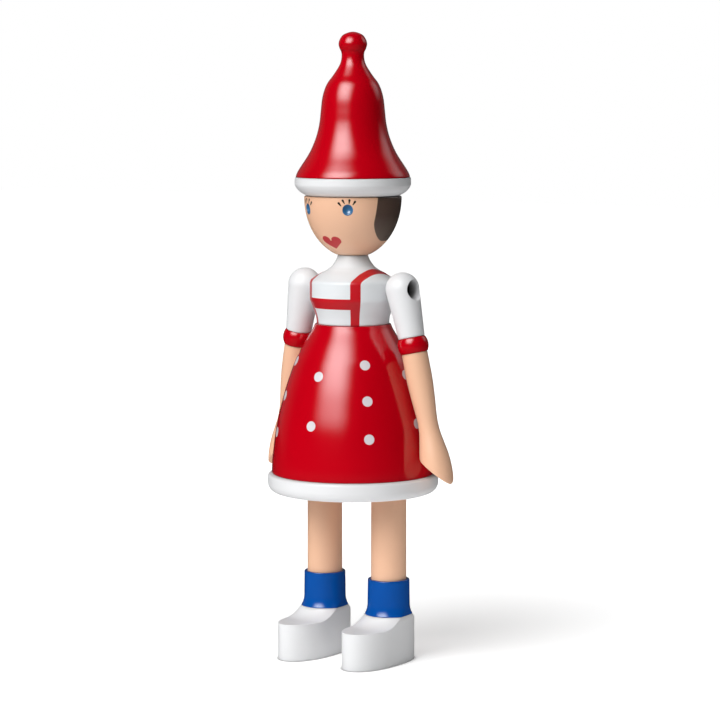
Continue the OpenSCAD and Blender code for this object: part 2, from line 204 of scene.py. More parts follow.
wire(tree, "OutputMaterial", {"Surface": seen_side.outputs[0]})
floor_mesh.materials.append(floor_paper)

# The surroundings light the doll, and are mirrored in it, from behind it alone.
ambient_back = 0.4
ambient_from = 0.0
mirrored_back = 0.1
mirrored_from = 0.3
full_from = 0.8

studio = bpy.data.worlds.new("studio")
bpy.context.scene.world = studio
tree = bare_tree(studio)
seen = wire(tree, "LightPath").outputs
heading = wire(tree, "TexCoord").outputs["Generated"]
behind = vectors(tree, "DOT_PRODUCT", heading, -camera_back)
ambient = ranged(tree, behind, ambient_from, full_from, 0.0, ambient_back)
mirrored = ranged(tree, behind, mirrored_from, full_from, 0.0, mirrored_back)
on_doll = mixed(tree, seen["Is Glossy Ray"], ambient, mirrored)
strength = mixed(tree, seen["Is Camera Ray"], on_doll, 1.0)
sky = wire(tree, "Background", {"Color": (1, 1, 1, 1), "Strength": strength})
wire(tree, "OutputWorld", {"Surface": sky.outputs[0]})
bpy.context.scene.view_settings.view_transform = "Standard"


# Lamps
# A wide soft box high on the camera's left lights the doll, and a weak one behind it on the
# right lights its edge. Each cloth is brightest in the middle and fades towards its edges.
lamp_bright_share = 0.15


def soft_box(name, turn, height, reach, width, tall, watts):
    """Area lamp aimed at the doll's middle, placed by its angle round from the camera."""
    lamp = bpy.data.lights.new(name, "AREA")
    lamp.shape = "RECTANGLE"
    lamp.size = width
    lamp.size_y = tall
    lamp.energy = watts
    lit = bpy.data.objects.new(name, lamp)
    around = camera_turn + math.radians(turn)
    rise = math.radians(height)
    out = Vector((math.sin(around) * math.cos(rise), -math.cos(around) * math.cos(rise),
                  math.sin(rise)))
    lit.location = out * reach + Vector((0, 0, camera_height / 2))
    lit.rotation_euler = out.to_track_quat("Z", "Y").to_euler()
    bpy.context.collection.objects.link(lit)
    bpy.context.view_layer.update()
    tree = bare_tree(lamp)
    position = wire(tree, "NewGeometry").outputs["Position"]
    here = vectors(tree, "SUBTRACT", position, lit.location)
    kept = 1.0
    for axis, half_size in ((0, width / 2), (1, tall / 2)):
        along = vectors(tree, "DOT_PRODUCT", here, lit.matrix_world.col[axis].xyz)
        fade = ranged(tree, maths(tree, "ABSOLUTE", along), half_size,
                      half_size * lamp_bright_share, interpolation_type="SMOOTHSTEP")
        kept = times(tree, fade, kept)
    cloth = wire(tree, "Emission", {"Strength": kept})
    wire(tree, "OutputLight", {"Surface": cloth.outputs[0]})


soft_box("key_box", turn=-37, height=41, reach=1.3, width=1.64, tall=1.62, watts=63.5)
soft_box("side_box", turn=116, height=30, reach=1.3, width=1.0, tall=0.9, watts=2.6)


# Hat
# Turned from one piece of wood: a bell that draws in to a neck with a ball on top. Painted
# red with a semi-gloss lacquer, which lies slightly uneven over the grain.
flat_shares = [0, 0.5, 0.9]
corner_room = 1.6


def curve_through(knots, steps, to_axis=False):
    """Smooth curve through an outline's knots, each stretch cut in steps."""
    knots = [Vector(k) for k in knots]
    beyond = Vector((-knots[-2].x, knots[-2].y)) if to_axis else knots[-1]
    ends = [knots[0]] + knots + [beyond]
    points = []
    for a, b, c, d in zip(ends, ends[1:], ends[2:], ends[3:]):
        for s in range(steps):
            t = s / steps
            points.append(b + (c - a) * t / 2 + (a * 2 - b * 5 + c * 4 - d) * t * t / 2
                          + (b * 3 - a - c * 3 + d) * t ** 3 / 2)
    points.append(knots[-1])
    return points


def between(start, end, shares):
    """Numbers at those shares of the way from start to end."""
    return [start + (end - start) * share for share in shares]


def fitted(curve, node):
    """Scales an outline of shares so that it fills the width and height of its node."""
    low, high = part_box(node)
    girth = (high.x - low.x) / 2 / max(point.x for point in curve)
    return [Vector((point.x * girth, low.z + point.y * (high.z - low.z))) for point in curve]


def eased(before, corner, after, ease, steps=4):
    """Points that round a corner off, from one ease before it to one ease after it."""
    corner = Vector(corner)
    start = corner + (Vector(before) - corner).normalized() * ease
    end = corner + (Vector(after) - corner).normalized() * ease
    return [start.lerp(corner, i / steps).lerp(corner.lerp(end, i / steps), i / steps)
            for i in range(steps + 1)]


def flat_ended(side, ease, top_flat=True):
    """Outline from axis to axis: a flat underside, the turned side and a flat top.

    Its corners are eased, and points of the side that lie too near to them are left out.
    """
    low, high = side[0], side[-1]
    room = corner_room * ease
    kept = [p for p in side if (p - low).length > room
            and (not top_flat or (p - high).length > room)]
    under = [Vector((low.x * share, low.y)) for share in flat_shares]
    outline = under + eased(under[-1], low, kept[0], ease) + kept
    if top_flat:
        cap = [Vector((high.x * share, high.y)) for share in reversed(flat_shares)]
        outline += eased(kept[-1], high, cap[0], ease) + cap
    return outline


def full_turn(outline, faces):
    """The same outline at evenly spaced angles round the axis."""
    return [(math.tau * i / faces, outline) for i in range(faces)]


def turned_piece(name, columns, ring=False, seams=(), place=None):
    """Solid about Z from columns of an angle and an outline of (radius, height).

    Heights in seams are those of the joints with its neighbours, and the vertices near
    them are marked, so that the paint can be duller there and darker, as painted shade.
    """
    on_axis = 0.001 * MM
    seam_reach = 0.35 * MM
    shape = bmesh.new()
    seam = shape.verts.layers.float.new("seam")
    poles = {}
    grid = []
    for angle, outline in columns:
        column = []
        for i, (radius, height) in enumerate(outline):
            if radius < on_axis:
                if i not in poles:
                    poles[i] = shape.verts.new((0, 0, height))
                column.append(poles[i])
                continue
            point = (radius * math.cos(angle), radius * math.sin(angle), height)
            column.append(shape.verts.new(point))
            near = min((abs(height - z) for z in seams), default=1)
            column[-1][seam] = math.exp(-(near / seam_reach) ** 2)
        grid.append(column)
    for left, right in zip(grid, grid[1:] + grid[:1]):
        last = len(left) if ring else len(left) - 1
        for i in range(last):
            j = (i + 1) % len(left)
            corners = []
            for vertex in (left[i], left[j], right[j], right[i]):
                if vertex not in corners:
                    corners.append(vertex)
            if len(corners) > 2:
                shape.faces.new(corners)
    bmesh.ops.recalc_face_normals(shape, faces=shape.faces)
    mesh = bpy.data.meshes.new(name)
    shape.to_mesh(mesh)
    shape.free()
    mesh.shade_smooth()
    if place:
        mesh.transform(place)
    piece = bpy.data.objects.new(name, mesh)
    bpy.context.collection.objects.link(piece)
    return piece


def dress(piece, material, slot, body, *nodes):
    """Gives a piece its paint and its body, in place of the nodes that it stands for."""
    piece.data.materials.append(material)
    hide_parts(*nodes)
    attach(piece, body)


def new_group(name, inputs, outputs):
    """Shader node group with named sockets, what it is given, and its output node."""
    group = bpy.data.node_groups.new(name, "ShaderNodeTree")
    for in_out, sockets in (("INPUT", inputs), ("OUTPUT", outputs)):
        for label, kind in sockets.items():
            group.interface.new_socket(label, in_out=in_out, socket_type="NodeSocket" + kind)
    return group, group.nodes.new("NodeGroupInput").outputs, group.nodes.new("NodeGroupOutput")


def lacquer_group():
    """Film of lacquer over wood: tone drifts, uneven gloss, orange peel, painted seam shade."""
    drift_scale = 75
    cloud_scale = 260
    cloud_low = 0.3
    cloud_high = 0.7
    gloss_swing = 0.035
    seam_dulling = 0.2
    peel_scale = 1500
    group, given, made = new_group(
        "lacquer_film",
        {"Colour": "Color", "Roughness": "Float", "Drift": "Float", "Seam Shade": "Float"},
        {"Colour": "Color", "Roughness": "Float", "Height": "Float"})
    place = place_in(group)
    seam = wire(group, "Attribute", attribute_name="seam").outputs["Fac"]
    drift = maths(group, "ADD", noise(group, place, drift_scale, 3), -0.5)
    tone = maths(group, "MULTIPLY_ADD", drift, given["Drift"], 1.0)
    # Painted shade: the colour darkens along the seams between pieces.
    seam_painted_shade = times(group, seam, given["Seam Shade"])
    level = times(group, tone, maths(group, "SUBTRACT", 1.0, seam_painted_shade))
    cloud = noise(group, place, cloud_scale, 4)
    swing = ranged(group, cloud, cloud_low, cloud_high, -gloss_swing, gloss_swing)
    dull = maths(group, "MULTIPLY_ADD", seam, seam_dulling, swing)
    feed(made, {"Colour": vectors(group, "MULTIPLY", given["Colour"], level),
                "Roughness": maths(group, "ADD", given["Roughness"], dull),
                "Height": noise(group, place, peel_scale)})
    return group


def bumped(tree, height, depth, strength):
    """Normal of a surface with a relief of that depth."""
    return wire(tree, "Bump", {"Height": height, "Distance": depth,
                               "Strength": strength}).outputs["Normal"]


def new_material(name):
    """Material with one shader. Returns it with its node tree and its shader."""
    material = bpy.data.materials.new(name)
    material.use_nodes = True
    return material, material.node_tree, material.node_tree.nodes["Principled BSDF"]


lacquer_film = lacquer_group()
paint_roughness = 0.36
paint_bump = 0.5
peel_depth = 0.012 * MM
# Share by which the paint is darkened at the seams, as painted shade.
seam_shade = 0.25
lacquer_roughness = 0.14
lacquer_ior = 1.64


def paint(name, colour, drift=0.08, lacquered=False, pattern=None):
    """Painted wood, with a clear coat where it is lacquered.

    A pattern adds other colours: it is given the tree and the colour of the ground.
    """
    material, tree, shader = new_material(name)
    if pattern:
        colour = pattern(tree, colour)
    film = wire(tree, "Group", {"Colour": colour, "Roughness": paint_roughness,
                                "Drift": drift, "Seam Shade": seam_shade},
                node_tree=lacquer_film).outputs
    bump = bumped(tree, film["Height"], peel_depth, paint_bump)
    feed(shader, {"Base Color": film["Colour"], "Roughness": film["Roughness"],
                  "Normal": bump})
    if lacquered:
        feed(shader, {"Specular IOR Level": 0.0, "Coat Weight": 1.0, "Coat IOR": lacquer_ior,
                      "Coat Roughness": lacquer_roughness, "Coat Normal": bump})
    return material


hat_rises = [0, 0.01, 0.04, 0.08, 0.145, 0.205, 0.287, 0.372, 0.454, 0.536, 0.6, 0.65,
             0.702, 0.764, 0.8, 0.835, 0.862, 0.885, 0.919, 0.957, 0.984, 1]
hat_girths = [0.985, 0.982, 0.95, 0.888, 0.782, 0.703, 0.625, 0.576, 0.553, 0.53, 0.49, 0.434,
              0.338, 0.239, 0.204, 0.193, 0.2, 0.227, 0.245, 0.212, 0.145, 0]
hat_edge = 0.25 * MM
body_faces = 160
red = (0.52, 0.0, 0.007, 1)

red_paint = paint("red_paint", red, lacquered=True)
hat_curve = curve_through(zip(hat_girths, hat_rises), steps=8, to_axis=True)
hat_outline = flat_ended(fitted(hat_curve, "hat"), hat_edge, top_flat=False)
hat = turned_piece("turned_hat", full_turn(hat_outline, body_faces), seams=[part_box("hat")[0].z])
dress(hat, red_paint, "red_paint", "head", "hat")


# Hat brim
# A turned ring with a full, rounded underside. Painted white, and clamped between the hat
# and the head on the dowel through all three.
brim_rises = [0, 0.11, 0.2, 0.32, 0.43, 0.53, 0.62, 0.8, 1]
brim_girths = [0.79, 0.85, 0.9, 0.942, 0.972, 0.99, 1, 1, 1]
brim_edge = 0.5 * MM
white = (0.80, 0.807, 0.818, 1)

white_paint = paint("white_paint", white, drift=0.03)
brim_side = fitted(curve_through(zip(brim_girths, brim_rises), steps=6), "hat_brim")
brim_low, brim_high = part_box("hat_brim")
brim = turned_piece("turned_brim", full_turn(flat_ended(brim_side, brim_edge), body_faces),
                    seams=[brim_low.z, brim_high.z])
dress(brim, white_paint, "white_paint", "head", "hat_brim")


# Head
# A turned bowl with a flat top, painted in skin colour. The eyes are two drilled dimples
# painted blue; lashes, lips and hair are painted on by hand.
bowl_over_height = 1.0404
bowl_steps = 60
head_edge = 0.4 * MM
eye_r = 1.75 * MM
eye_sink = 0.95 * MM
eye_turn = 31
eye_drop = 4 * MM

head_low, head_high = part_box("head")
head_r = (head_high.x - head_low.x) / 2
head_h = head_high.z - head_low.z
bowl_h = head_h * bowl_over_height
eye_z = head_high.z - eye_drop


def head_radius(height):
    """Radius of the bowl at a height."""
    share = (head_high.z - head_edge - height) / bowl_h
    return head_r * math.sqrt(1 - max(share, 0) ** 2)


def on_head(turn, height, lift=0):
    """Point on the bowl, turned that many degrees from the front towards the left hand."""
    radius = head_radius(height) + lift
    angle = math.radians(turn)
    return Vector((radius * math.sin(angle), -radius * math.cos(angle), height))


def dimpled(piece):
    """Sinks the eyes: a vertex inside the drill's ball moves out of it, towards the axis."""
    ball_r = (eye_r ** 2 + eye_sink ** 2) / (2 * eye_sink)
    for side in (-1, 1):
        out = on_head(side * eye_turn, eye_z, ball_r - eye_sink)
        flat = Vector((out.x, out.y, 0)).normalized()
        for vertex in piece.data.vertices:
            across = vertex.co - out
            along = across.dot(flat)
            aside = (across - flat * along).length
            if aside < ball_r and across.length < ball_r:
                vertex.co += flat * (-math.sqrt(ball_r ** 2 - aside ** 2) - along)


brush_soft = 0.05 * MM


def stroke_group():
    """Mask of one brush stroke between two points on the surface, with a width at each."""
    group, given, made = new_group(
        "brush_stroke",
        {"Start": "Vector", "End": "Vector", "Start Radius": "Float", "End Radius": "Float"},
        {"Mask": "Float"})
    span = vectors(group, "SUBTRACT", given["End"], given["Start"])
    here = vectors(group, "SUBTRACT", place_in(group), given["Start"])
    along = vectors(group, "DOT_PRODUCT", here, span)
    whole = vectors(group, "DOT_PRODUCT", span, span)
    share = maths(group, "DIVIDE", along, whole, use_clamp=True)
    gap = vectors(group, "DISTANCE", here, vectors(group, "MULTIPLY", span, share))
    radius = mixed(group, share, given["Start Radius"], given["End Radius"])
    inside = maths(group, "SUBTRACT", radius, gap)
    feed(made, {"Mask": ranged(group, inside, -brush_soft, brush_soft)})
    return group


brush_stroke = stroke_group()


def stroke(tree, start, end, start_radius, end_radius):
    """Mask of a brush stroke in a material."""
    return wire(tree, "Group", {"Start": start, "End": end, "Start Radius": start_radius,
                                "End Radius": end_radius}, node_tree=brush_stroke).outputs[0]


def axes(tree, place):
    """The three numbers of a place."""
    return wire(tree, "SeparateXYZ", {0: place}).outputs


def either(tree, masks):
    """Mask of what any of the masks covers."""
    total = masks[0]
    for mask in masks[1:]:
        total = maths(tree, "MAXIMUM", total, mask)
    return total


def over(tree, ground, colour, mask):
    """Lays a colour over the ground where the mask is 1."""
    return wire(tree, "Mix", {"Factor": mask, 6: ground, 7: colour},
                data_type="RGBA").outputs[2]


# Root and tip of each lash: degrees outwards from the eye's middle, and height in mm.
lash_marks = [(-8, 155.3, -10.6, 156.2), (-3.75, 156.1, -5.75, 157.1),
              (1.75, 156.15, 2.2, 157.2), (6.2, 155.7, 8.6, 156.7)]
lash_root = 0.16 * MM
lash_tip = 0.38 * MM
# Start of each stroke of the lips: degrees from the front, height and half width in mm.
lip_marks = [(-9.6, 143.4, 1.85), (-4.5, 142.6, 1.3), (4.5, 142.6, 1.4), (9.2, 143.35, 1.85)]
lip_tip_turn = 1.2
lip_tip_z = 140.7 * MM
lip_tip_r = 0.12 * MM
eye_paint_r = 1.82 * MM
dab_share = 0.999
hair_turn = math.radians(64.5)
hair_foot = 143.1 * MM
hair_corner = 7.5 * MM
hair_spread = 14 * MM
hair_growth = math.radians(3)
hair_growth_z = 149 * MM
hair_soft = 0.08 * MM
# Painted reflection of the floor: below this height the hair is painted a lighter brown.
hair_sheen_top_z = 152 * MM
hair_gloss = 0.6
face_coat_roughness = 0.2
face_coat_ior = 1.7
skin = (0.87, 0.52, 0.34, 1)
eye_blue = (0.03, 0.15, 0.33, 1)
lash_brown = (0.006, 0.004, 0.003, 1)
lip_red = (0.56, 0.04, 0.048, 1)
hair_brown = (0.11, 0.067, 0.05, 1)
# Lighter brown of the painted reflection at the hair's foot.
hair_painted_sheen = (0.2, 0.15, 0.12, 1)


def hair_mask(tree, parts):
    """Hair behind a slanting line on each side, with a round corner at its foot."""
    front = times(tree, parts["Y"], -1.0)
    turn = maths(tree, "ARCTAN2", maths(tree, "ABSOLUTE", parts["X"]), front)
    line = ranged(tree, parts["Z"], hair_growth_z, head_high.z, hair_turn,
                  hair_turn + hair_growth)
    past = maths(tree, "SUBTRACT", turn, line)
    across = times(tree, past, hair_spread)
    above = maths(tree, "SUBTRACT", parts["Z"], hair_foot)
    square = 0.0
    for distance in (across, above):
        short = maths(tree, "SUBTRACT", hair_corner, distance)
        gap = maths(tree, "MAXIMUM", short, 0.0)
        square = maths(tree, "MULTIPLY_ADD", gap, gap, square)
    reach = maths(tree, "SQRT", square)
    return ranged(tree, reach, hair_corner + hair_soft, hair_corner - hair_soft)


def face_pattern(tree, ground):
    """Skin with hair, lips, eyes and lashes painted over it. The hair's foot has a painted
    reflection.
    """
    parts = axes(tree, place_in(tree))
    hair = hair_mask(tree, parts)
    # Painted reflection: the hair grows lighter towards its foot, where it would mirror the
    # floor.
    sheen_share = ranged(tree, parts["Z"], hair_sheen_top_z, hair_foot)
    locks = over(tree, hair_brown, hair_painted_sheen, sheen_share)
    colour = over(tree, ground, locks, hair)
    tip = on_head(lip_tip_turn, lip_tip_z)
    lips = [stroke(tree, on_head(turn, height * MM), tip, radius * MM, lip_tip_r)
            for turn, height, radius in lip_marks]
    colour = over(tree, colour, lip_red, either(tree, lips))
    eyes = []
    lashes = []
    for side in (-1, 1):
        centre = on_head(side * eye_turn, eye_z, -eye_sink / 2)
        eyes.append(stroke(tree, centre, centre * dab_share, eye_paint_r, eye_paint_r))
        for root_turn, root_z, tip_turn, tip_z in lash_marks:
            lashes.append(stroke(tree, on_head(side * (eye_turn + root_turn), root_z * MM),
                                 on_head(side * (eye_turn + tip_turn), tip_z * MM),
                                 lash_root, lash_tip))
    colour = over(tree, colour, eye_blue, either(tree, eyes))
    hair_coat = times(tree, hair, hair_gloss)
    feed(tree.nodes["Principled BSDF"],
         {"Coat Weight": either(tree, eyes + [hair_coat]), "Coat IOR": face_coat_ior,
          "Coat Roughness": face_coat_roughness})
    return over(tree, colour, lash_brown, either(tree, lashes))


column_turn = 2.0
eye_column_turn = 0.5
eye_columns_reach = 8
eye_rows_reach = 2.2 * MM
eye_row_step = 0.15 * MM


def eye_angles():
    """Angles round the head, closer together at the eyes. The front is at 270 degrees."""
    angles = []
    degrees = 0.0
    while degrees < 360:
        angles.append(math.radians(degrees))
        near = min(abs(degrees - 270 - side * eye_turn) for side in (-1, 1))
        degrees += eye_column_turn if near < eye_columns_reach else column_turn
    return angles


def finer(outline, low, high, step):
    """Adds points to an outline between two heights, so that none are a step apart there."""
    points = [outline[0]]
    for point in outline[1:]:
        last = points[-1]
        if low < (last.y + point.y) / 2 < high:
            cuts = max(1, math.ceil((point - last).length / step))
            points += [last.lerp(point, i / cuts) for i in range(1, cuts)]
        points.append(point)
    return points


face_paint = paint("face_paint", skin, drift=0.05, pattern=face_pattern)
bowl_side = []
for i in range(bowl_steps + 1):
    sweep = math.asin((head_h - head_edge) / bowl_h) * (1 - i / bowl_steps)
    bowl_side.append(Vector((head_r * math.cos(sweep),
                             head_high.z - head_edge - bowl_h * math.sin(sweep))))
bowl_side.append(Vector((head_r, head_high.z)))
head_outline = finer(flat_ended(bowl_side, head_edge), eye_z - eye_rows_reach,
                     eye_z + eye_rows_reach, eye_row_step)
head = turned_piece("turned_head", [(angle, head_outline) for angle in eye_angles()],
                    seams=[head_low.z, head_high.z])
dimpled(head)
dress(head, face_paint, "skin_paint", "head", "head")


# Torso
# Turned in one piece from waist to neck and painted white. Two red braces run over the
# shoulders, and a red cross band joins them in front.
waist_share = 24.6 / 29.4
neck_share = 10.2 / 29.4
chest_rises = [0, 0.09, 0.17, 0.26, 0.34, 0.385]
chest_swells = [0, 0.09, 0.3, 0.62, 0.93, 1]
bust_rises = [0.39, 0.4, 0.58, 0.595]
shoulder_rises = [0.6, 0.64, 0.695, 0.735, 0.77, 0.8, 0.83, 0.885, 0.94, 1]
shoulder_swells = [1, 0.95, 0.75, 0.6, 0.43, 0.32, 0.23, 0.13, 0.05, 0]
torso_edge = 0.3 * MM
brace_inner = 8.1 * MM
brace_outer = 10.8 * MM
brace_turn_rise = 0.462
brace_gloss = 0.5
brace_coat_roughness = 0.24
brace_coat_ior = 1.6
band_low = 120.4 * MM
band_high = 124.0 * MM
brace_red = (0.58, 0.0, 0.008, 1)
# Painted light: a cooler white than the other white parts, to cancel the red light that the skirt
# throws on the torso.
torso_white_cooled = (0.77, 0.8, 0.818, 1)

torso_low, torso_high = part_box("torso")
bust_r = (torso_high.x - torso_low.x) / 2
brace_turn_z = torso_low.z + (torso_high.z - torso_low.z) * brace_turn_rise


def within(tree, value, low, high):
    """Mask that is 1 where the value lies between two limits, with a brush-soft edge."""
    rising = maths(tree, "SUBTRACT", value, low)
    falling = maths(tree, "SUBTRACT", high, value)
    return ranged(tree, maths(tree, "MINIMUM", rising, falling), -brush_soft, brush_soft)


def brace_pattern(tree, ground):
    """White with the cross band and the two braces, which draw in towards the waist."""
    place = place_in(tree)
    parts = axes(tree, place)
    radius = vectors(tree, "LENGTH", vectors(tree, "MULTIPLY", place, (1, 1, 0)))
    swell = maths(tree, "DIVIDE", bust_r, radius)
    below = maths(tree, "LESS_THAN", parts["Z"], brace_turn_z)
    across = maths(tree, "ABSOLUTE", parts["X"])
    width = times(tree, across, mixed(tree, below, 1.0, swell))
    straps = within(tree, width, brace_inner, brace_outer)
    band = within(tree, parts["Z"], band_low, band_high)
    middle = maths(tree, "LESS_THAN", width, (brace_inner + brace_outer) / 2)
    front = maths(tree, "LESS_THAN", parts["Y"], 0.0)
    braces = either(tree, [straps, times(tree, band, middle, front)])
    feed(tree.nodes["Principled BSDF"],
         {"Coat Weight": times(tree, braces, brace_gloss),
          "Coat IOR": brace_coat_ior, "Coat Roughness": brace_coat_roughness})
    return over(tree, ground, brace_red, braces)


torso_paint = paint("torso_paint", torso_white_cooled, drift=0.03, pattern=brace_pattern)
chest = curve_through(zip(between(waist_share, 1, chest_swells), chest_rises), steps=6)
bust = [Vector((1, rise)) for rise in bust_rises]
shoulders = curve_through(zip(between(neck_share, 1, shoulder_swells), shoulder_rises), steps=6)
torso_side = fitted(chest + bust + shoulders, "torso")
torso = turned_piece("turned_torso", full_turn(flat_ended(torso_side, torso_edge), body_faces),
                     seams=[torso_low.z, torso_high.z])
dress(torso, torso_paint, "white_paint", "trunk", "torso")


# Skirt
# A turned bell, hollow below for the hip block and the legs. Painted red outside, with
# white dots stamped in rings; the hollow is bare wood with some overspray at its mouth.
skirt_rises = [0, 0.08, 0.213, 0.347, 0.48, 0.6125, 0.746, 0.812, 0.878, 0.96, 1]
skirt_flares = [1, 0.99, 0.94, 0.868, 0.757, 0.628, 0.465, 0.355, 0.23, 0.06, 0]
skirt_top_share = 25.8 / 55.4
skirt_edge = 0.3 * MM
skirt_faces = 176
hollow_mouth_r = 24.6 * MM
hollow_hip_r = 20.75 * MM
hollow_top_r = 17.84 * MM
# Each ring of dots: its height in mm, and how many degrees its first dot is turned.
dot_rows = [(102.4, 45), (98.4, 0), (90.7, 45), (82.2, 0), (78.3, 45)]
dot_phase = 4
dot_columns = 4
dot_r = 1.72 * MM
dot_soft = 0.06 * MM
dot_white = (0.72, 0.685, 0.72, 1)

joint_at = {joint["name"]: Vector(joint["pos_m"]) for joint in frame["joints"]}
hip_z = joint_at["left_hip"].z
hollow_top_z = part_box("hip_block")[1].z
skirt_low, skirt_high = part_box("skirt")
skirt_girths = between(skirt_top_share, 1, skirt_flares)
skirt_side = fitted(curve_through(zip(skirt_girths, skirt_rises), steps=8), "skirt")


def dot_ring_group():
    """Mask of dots of one size, spaced evenly round the axis at one height."""
    group, given, made = new_group(
        "dot_ring",
        {"Height": "Float", "Girth": "Float", "Phase": "Float", "Radius": "Float"},
        {"Mask": "Float"})
    step = math.tau / dot_columns
    place = place_in(group)
    parts = axes(group, place)
    front = times(group, parts["Y"], -1.0)
    turn = maths(group, "ARCTAN2", parts["X"], front)
    phased = maths(group, "SUBTRACT", turn, given["Phase"])
    folded = maths(group, "WRAP", phased, -step / 2, step / 2)
    radius = vectors(group, "LENGTH", vectors(group, "MULTIPLY", place, (1, 1, 0)))
    aside = times(group, radius, maths(group, "SINE", folded))
    out = times(group, radius, maths(group, "COSINE", folded))
    here = wire(group, "CombineXYZ", {0: aside, 1: out, 2: parts["Z"]}).outputs[0]
    centre = wire(group, "CombineXYZ", {1: given["Girth"], 2: given["Height"]}).outputs[0]
    gap = vectors(group, "DISTANCE", here, centre)
    inside = maths(group, "SUBTRACT", given["Radius"], gap)
    feed(made, {"Mask": ranged(group, inside, -dot_soft, dot_soft)})
    return group


dot_ring = dot_ring_group()


def skirt_radius(height):
    """Radius of the skirt's side at a height."""
    for low, high in zip(skirt_side, skirt_side[1:]):
        if low.y <= height <= high.y:
            return low.x + (high.x - low.x) * (height - low.y) / (high.y - low.y)
    return skirt_side[0].x


def dot_pattern(tree, ground):
    """Red with five rings of white dots."""
    rings = [wire(tree, "Group", {"Height": height * MM, "Girth": skirt_radius(height * MM),
                                  "Phase": math.radians(turn + dot_phase), "Radius": dot_r},
                  node_tree=dot_ring).outputs[0] for height, turn in dot_rows]
    return over(tree, ground, dot_white, either(tree, rings))


beech_dark = (0.56, 0.36, 0.2, 1)
beech_light = (0.72, 0.51, 0.31, 1)
beech_fleck = (0.36, 0.2, 0.1, 1)
grain_scale = 900
grain_stretch = (1, 1, 0.06)
grain_low = 0.35
grain_high = 0.65
grain_depth = 0.05 * MM
grain_bump = 0.5
grain_roughness = (0.5, 0.75)
fleck_scale = 700
fleck_stretch = (1, 1, 0.12)
fleck_rim = 0.22
fleck_core = 0.1
fleck_weight = 0.45
# Overspray: how much lands at the mouth and at its reach, and from where it shows and covers.
spray_reach = 12 * MM
spray_at_mouth = 1.1
spray_at_reach = -0.5
spray_shows = 0.6
spray_covers = 1.1
mist_scale = 350


def stretched(tree, place, scale):
    """The same place, drawn out along the axis whose scale is small."""
    return wire(tree, "Mapping", {"Vector": place, "Scale": scale}).outputs["Vector"]


def beech(name, mouth_z=None, spray=None):
    """Bare beech: long fine grain along Z with short dark flecks, and any overspray."""
    material, tree, shader = new_material(name)
    place = place_in(tree)
    grain = noise(tree, stretched(tree, place, grain_stretch), grain_scale, 4)
    streaks = ranged(tree, grain, grain_low, grain_high)
    colour = over(tree, beech_dark, beech_light, streaks)
    cells = wire(tree, "TexVoronoi", {"Vector": stretched(tree, place, fleck_stretch),
                                      "Scale": fleck_scale})
    flecks = ranged(tree, cells.outputs["Distance"], fleck_rim, fleck_core, 0.0, fleck_weight)
    colour = over(tree, colour, beech_fleck, flecks)
    if spray:
        fade = ranged(tree, axes(tree, place)["Z"], mouth_z, mouth_z + spray_reach,
                      spray_at_mouth, spray_at_reach)
        landed = maths(tree, "ADD", fade, noise(tree, place, mist_scale, 5))
        colour = over(tree, colour, spray, ranged(tree, landed, spray_shows, spray_covers))
    feed(shader, {"Base Color": colour,
                  "Normal": bumped(tree, grain, grain_depth, grain_bump),
                  "Roughness": ranged(tree, grain, 0.0, 1.0, *grain_roughness)})
    return material


skirt_paint = paint("skirt_paint", red, lacquered=True, pattern=dot_pattern)
hollow_wood = beech("hollow_wood", skirt_low.z, red)
hollow = [Vector(point) for point in (
    (0, hollow_top_z), (hollow_top_r / 2, hollow_top_z), (hollow_top_r, hollow_top_z),
    (hollow_hip_r, hip_z), (hollow_mouth_r, skirt_low.z + skirt_edge),
    (hollow_mouth_r + skirt_edge, skirt_low.z))]
skirt_outline = hollow + flat_ended(skirt_side, skirt_edge)[len(flat_shares):]
skirt = turned_piece("turned_skirt", full_turn(skirt_outline, skirt_faces),
                     seams=[skirt_low.z, skirt_high.z])
dress(skirt, skirt_paint, "red_paint", "trunk", "skirt")
skirt.data.materials.append(hollow_wood)
facing_down = -0.9
for face in skirt.data.polygons:
    outwards = Vector((face.center.x, face.center.y, 0))
    in_wall = face.normal.dot(outwards) < 0 and face.center.z < hollow_top_z
    in_ceiling = face.normal.z < facing_down and face.center.z > hip_z
    if in_wall or in_ceiling:
        face.material_index = 1


# Skirt hem
# A turned ring glued under the skirt, rounded over at its foot. Painted white.
# Its bore is as wide as the mouth of the skirt's hollow.
hem_fall_share = 0.52
hem_shoulder_share = 0.8
hem_bore_edge = 0.8 * MM
hem_top_step = 1 * MM

hem_low, hem_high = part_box("skirt_hem")
hem_r = (hem_high.x - hem_low.x) / 2
hem_fall = (hem_high.z - hem_low.z) * hem_fall_share
hem_shoulder = (hem_r - skirt_side[0].x) * hem_shoulder_share


def arc(centre_r, centre_z, radius, start, end, steps):
    """Points of an arc in an outline, between two angles in degrees."""
    angles = [math.radians(start + (end - start) * i / steps) for i in range(steps + 1)]
    return [Vector((centre_r + radius * math.cos(a), centre_z + radius * math.sin(a)))
            for a in angles]


hem_outline = (arc(hollow_mouth_r + hem_bore_edge, hem_low.z + hem_bore_edge, hem_bore_edge,
                   180, 270, steps=6)
               + arc(hem_r - hem_fall, hem_low.z + hem_fall, hem_fall, 270, 360, steps=18)
               + arc(hem_r - hem_shoulder, hem_high.z - hem_shoulder, hem_shoulder,
                     0, 90, steps=8)
               + [Vector((hollow_mouth_r + hem_top_step, hem_high.z)),
                  Vector((hollow_mouth_r, hem_high.z))])
hem = turned_piece("turned_hem", full_turn(hem_outline, skirt_faces), ring=True,
                   seams=[hem_high.z])
dress(hem, white_paint, "white_paint", "trunk", "skirt_hem")


